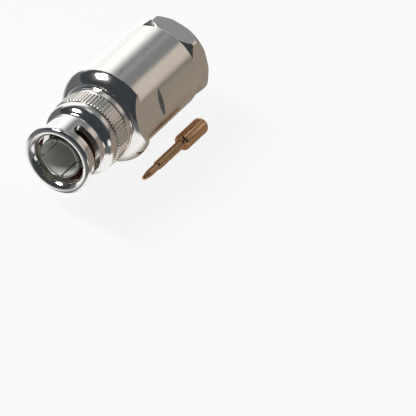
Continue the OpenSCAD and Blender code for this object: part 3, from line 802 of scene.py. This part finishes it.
def makeFloor():
    # white to the camera with the shadow kept; mirrored, it shows painted light on the lit side, in front and
    # in a patch by the rim, and a painted dim, warm shadow beside the plug
    s = floorLook
    half = s["halfWidth"]
    corners = [(x * half, y * half, floorHeight) for x, y in ((-1, -1), (1, -1), (1, 1), (-1, 1))]
    floor = newPiece("floor", corners, [(0, 1, 2, 3)])
    material = bpy.data.materials.new("pale_floor")
    material.use_nodes = True
    tree = material.node_tree
    tree.nodes.clear()
    metres = tree.nodes.new("ShaderNodeTexCoord").outputs["Object"]
    here = addNode(tree, "ShaderNodeVectorMath", {0: metres, "Scale": 1000.0}, operation="SCALE")
    place = addNode(tree, "ShaderNodeSeparateXYZ", {0: here.outputs[0]})

    def ramp(value, low, high):
        return addNode(tree, "ShaderNodeMapRange", {"Value": value, "From Min": low, "From Max": high},
                       interpolation_type="SMOOTHSTEP").outputs[0]

    x, y = place.outputs[0], place.outputs[1]      # the zones below are in millimetres on the floor
    slanted = sums(tree, "SUBTRACT", x, sums(tree, "MULTIPLY", y, 0.5))
    # painted light for mirrored rays: the lit side, the front and a patch by the rim
    lit = sums(tree, "MULTIPLY", ramp(y, 2, 10), ramp(slanted, -4, 6))
    front = sums(tree, "MULTIPLY", sums(tree, "MULTIPLY", ramp(y, -3, -9), ramp(y, -40, -28)),
                 sums(tree, "MULTIPLY", ramp(x, 12, 5), ramp(x, -25, -15)))
    patch = sums(tree, "MULTIPLY", sums(tree, "MULTIPLY", ramp(x, -24, -17), ramp(x, 0, -7)),
                 sums(tree, "MULTIPLY", ramp(y, -3, 3), ramp(y, 24, 17)))
    # painted shadow for mirrored rays: dim and warm beside the plug, where its shadow falls
    paintedShadowSide = sums(tree, "MULTIPLY", ramp(y, 3, -5), ramp(x, -8, 2))
    paintedShades = mixColours(tree, paintedShadowSide, (*s["paintedDim"], 1), (*s["paintedWarmShadow"], 1))
    paintedBright = sums(tree, "MAXIMUM", sums(tree, "MAXIMUM", lit, front), patch)
    paintedShades = mixColours(tree, paintedBright, paintedShades, (*s["paintedBright"], 1))
    # mirrored rays see this painted light and painted shadow as glow; the camera sees white
    light = tree.nodes.new("ShaderNodeLightPath")
    mirrored = sums(tree, "MAXIMUM", light.outputs["Is Glossy Ray"], light.outputs["Is Transmission Ray"])
    glow = addNode(tree, "ShaderNodeEmission", {"Color": mixColours(tree, mirrored, (1, 1, 1, 1), paintedShades)})
    share = sums(tree, "MAXIMUM", sums(tree, "MULTIPLY", light.outputs["Is Camera Ray"], s["seenWhite"]),
                 sums(tree, "MULTIPLY", mirrored, s["mirroredPaintedGlow"]))
    matt = addNode(tree, "ShaderNodeBsdfDiffuse", {"Color": s["colour"]})
    both = addNode(tree, "ShaderNodeMixShader", {0: share, 1: matt.outputs[0], 2: glow.outputs[0]})
    tree.links.new(both.outputs[0], tree.nodes.new("ShaderNodeOutputMaterial").inputs[0])
    floor.data.materials.append(material)


makeFloor()

# millimetres, but the distance in metres; it looks at "from", moved along its right and down
camera = {
    "right": (0.5282, -0.8248, 0.2017), "up": (0.5337, 0.5072, 0.6768), "distance": 3.0, "viewWidth": 75.2,
    "lookRight": 27.36, "lookDown": 8.42, "from": (-7.4831, 0.0, 0.5033)}


def makeCamera():
    s = camera
    right, up = Vector(s["right"]).normalized(), Vector(s["up"])
    up = (up - right * up.dot(right)).normalized()
    back = right.cross(up)
    target = (Vector(s["from"]) + right * s["lookRight"] - up * s["lookDown"]) * mm
    lens = bpy.data.cameras.new("camera")
    lens.sensor_width = 36
    lens.lens = 36 * s["distance"] / (s["viewWidth"] * mm)
    lens.clip_start, lens.clip_end = 0.01, 20
    seat = bpy.data.objects.new("camera", lens)
    bpy.context.scene.collection.objects.link(seat)
    seat.matrix_world = Matrix.Translation(target + back * s["distance"]) @ Matrix(
        (right, up, back)).transposed().to_4x4()
    bpy.context.scene.camera = seat


makeCamera()

# soft lights of the world: direction (azimuth from +X, elevation), spread, colour, strength
worldLights = [
    {"azimuth": 44, "elevation": -4, "wide": 32, "high": 29, "colour": (0.98, 1.0, 1.02), "strength": 1.42},
    {"azimuth": -98, "elevation": 5, "wide": 14, "high": 11, "colour": (1.0, 0.98, 0.96), "strength": 1.3},
    {"azimuth": -27, "elevation": 31, "wide": 17, "high": 15, "colour": (1.0, 0.82, 0.68), "strength": 0.50},
    {"azimuth": -55, "elevation": 4, "wide": 26, "high": 16, "colour": (1.0, 0.84, 0.70), "strength": 0.30},
    {"azimuth": 27, "elevation": 54, "wide": 17, "high": 15, "colour": (1.0, 0.99, 0.97), "strength": 0.55},
    {"azimuth": 0, "elevation": 40, "wide": 60, "high": 22, "colour": (0.95, 0.98, 1.0), "strength": 0.22}]
worldBase = (0.055, 0.065, 0.075)


def makeWorld():
    world = bpy.data.worlds.new("studio")
    bpy.context.scene.world = world
    world.use_nodes = True
    tree = world.node_tree
    tree.nodes.clear()
    place = tree.nodes.new("ShaderNodeTexCoord").outputs["Generated"]
    way = addNode(tree, "ShaderNodeSeparateXYZ", {0: place})
    azimuth = sums(tree, "ARCTAN2", way.outputs[1], way.outputs[0])
    elevation = sums(tree, "ARCSINE", way.outputs[2])
    total = None
    for light in worldLights:
        turned = sums(tree, "SUBTRACT", azimuth, math.radians(light["azimuth"]))
        turned = sums(tree, "ARCCOSINE", sums(tree, "COSINE", turned))
        a = sums(tree, "DIVIDE", turned, math.radians(light["wide"]))
        b = sums(tree, "DIVIDE", sums(tree, "SUBTRACT", elevation, math.radians(light["elevation"])),
                 math.radians(light["high"]))
        squared = sums(tree, "ADD", sums(tree, "MULTIPLY", a, a), sums(tree, "MULTIPLY", b, b))
        away = sums(tree, "SQRT", squared)
        share = addNode(tree, "ShaderNodeMapRange", {"Value": away, "From Min": 1.35, "From Max": 0.65,
                                                     "To Min": 0.0, "To Max": light["strength"]},
                        interpolation_type="SMOOTHSTEP")
        tint = addNode(tree, "ShaderNodeVectorMath",
                       {0: light["colour"], "Scale": share.outputs[0]}, operation="SCALE")
        total = addNode(tree, "ShaderNodeVectorMath", {0: total or worldBase, 1: tint.outputs[0]},
                        operation="ADD").outputs[0]
    shine = addNode(tree, "ShaderNodeBackground", {"Color": total, "Strength": 1.0})
    tree.links.new(shine.outputs[0], tree.nodes.new("ShaderNodeOutputWorld").inputs[0])


makeWorld()


keyLamp = {"place": (-0.25, 0.75, 0.75), "aim": (0.01, 0, 0), "size": 0.35, "power": 9.0}      # metres, watts


def makeKeyLamp():
    s = keyLamp
    lamp = bpy.data.lights.new("keyLamp", "AREA")
    lamp.shape, lamp.size, lamp.energy = "SQUARE", s["size"], s["power"]
    seat = bpy.data.objects.new("keyLamp", lamp)
    bpy.context.scene.collection.objects.link(seat)
    seat.location = s["place"]
    seat.rotation_euler = (Vector(s["aim"]) - Vector(s["place"])).to_track_quat("-Z", "Y").to_euler()


makeKeyLamp()
print("floor, camera and light made")

bpy.context.scene.view_settings.view_transform = "Standard"
